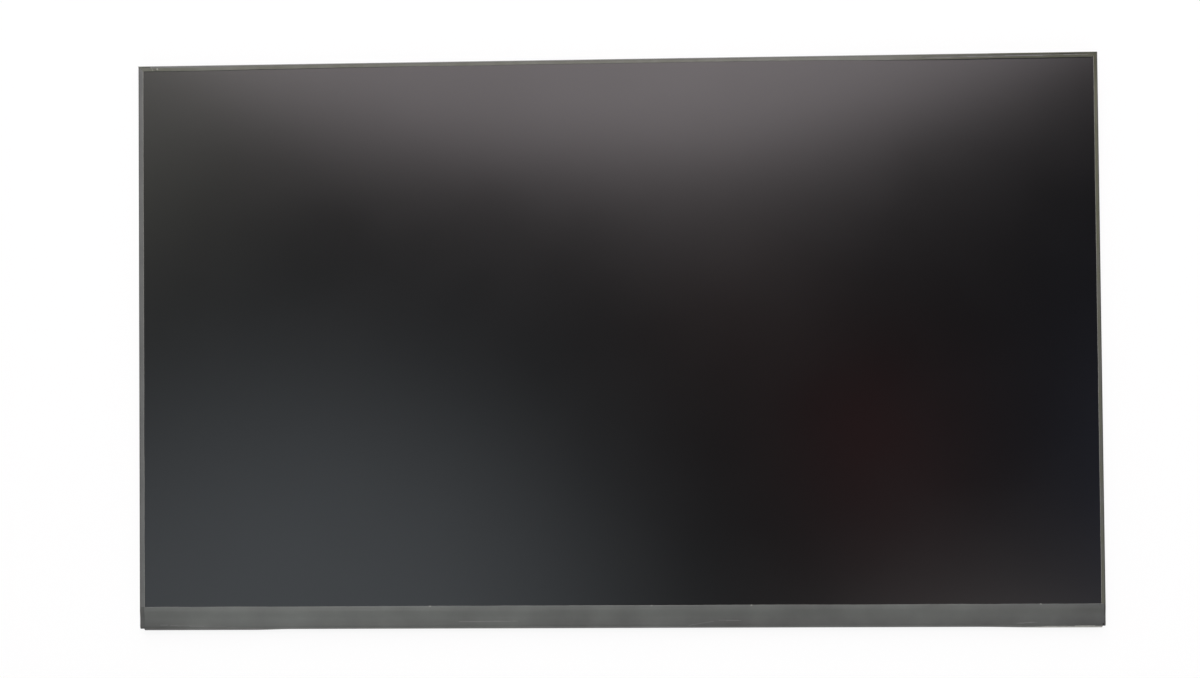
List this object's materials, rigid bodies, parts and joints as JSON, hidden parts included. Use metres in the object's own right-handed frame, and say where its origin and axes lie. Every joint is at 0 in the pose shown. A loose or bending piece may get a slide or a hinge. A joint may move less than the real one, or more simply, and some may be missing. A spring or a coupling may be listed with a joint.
{
  "type": "laptop display panel",
  "caption": "Thin flat display panel for a laptop: matte screen, black edge tapes, a wide tape along the lower edge, and a driver board with a signal socket folded behind it.",
  "frame": {"origin": "under the middle of the outline, on the surface that the panel lies on", "axes": "+X to the right along the screen's width, +Y up the screen, +Z out of the screen"},
  "size_m": [0.3506, 0.2074, 0.0039],
  "materials": {
    "polarizer": "anti-glare matte",
    "glass": "polished",
    "optical_film": "translucent matte",
    "guide_acrylic": "clear polished",
    "reflector": "white matte",
    "black_tape": "matte",
    "frame_plastic": "moulded matte",
    "plate": "rolled satin",
    "board": "satin solder mask",
    "adhesive": "matte",
    "chip": "moulded matte",
    "silicon": "polished",
    "coil": "pressed powder",
    "capacitor": "satin",
    "resistor": "satin",
    "fuse": "satin",
    "socket_plastic": "moulded satin",
    "socket_metal": "bright tin plate",
    "contact": "gold flash",
    "flex": "amber satin",
    "lamp": "satin",
    "foil": "foil"
  },
  "bodies": {
    "root": {"front_polarizer": "polarizer", "filter_glass": "glass", "array_glass": "glass", "rear_polarizer": "polarizer", "cell_tape": "adhesive", "mold_frame": "frame_plastic", "rear_plate": "plate", "upper_prism_sheet": "optical_film", "lower_prism_sheet": "optical_film", "diffuser_sheet": "optical_film", "light_guide": "guide_acrylic", "reflector_sheet": "reflector", "led_flex": "flex", "backlight_leds": "lamp", "left_edge_tape": "black_tape", "right_edge_tape": "black_tape", "top_edge_tape": "black_tape", "cover_tape": "black_tape", "driver_board": "board", "board_tape": "adhesive", "timing_controller": "chip", "power_chip": "chip", "level_shifter": "chip", "memory_chip": "chip", "backlight_driver": "chip", "power_inductors": "coil", "ceramic_capacitors": "capacitor", "chip_resistors": "resistor", "rectifier_diodes": "chip", "input_fuse": "fuse", "connector_housing": "socket_plastic", "connector_shell": "socket_metal", "connector_contacts": "contact", "source_film_1": "flex", "source_chip_1": "silicon", "source_film_2": "flex", "source_chip_2": "silicon", "source_film_3": "flex", "source_chip_3": "silicon", "source_film_4": "flex", "source_chip_4": "silicon", "ground_tape_1": "foil", "ground_tape_2": "foil"}
  },
  "joints": []
}
